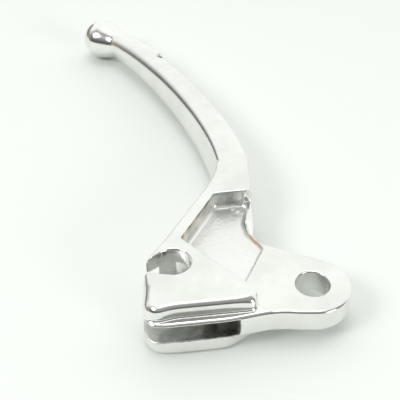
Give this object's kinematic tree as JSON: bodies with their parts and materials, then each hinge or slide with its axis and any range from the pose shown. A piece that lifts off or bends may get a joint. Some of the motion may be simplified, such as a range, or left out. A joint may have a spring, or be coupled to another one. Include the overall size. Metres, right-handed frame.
{
  "type": "brake lever",
  "caption": "Curved hand brake lever with a ball end, a pivot bore, a slotted cable end with a nipple hole, and a lightening pocket in each side of its knee.",
  "frame": {"origin": "middle of the pivot bore, half way through the arm", "axes": "+Z along the pivot bore, +Y from the pivot towards the ball end, +X from the cable end towards the pivot"},
  "size_m": [0.0777, 0.152, 0.0136],
  "materials": {
    "lever": "polished, as cast in the pockets and the slot"
  },
  "bodies": {
    "root": {"lever": "lever"}
  },
  "joints": []
}
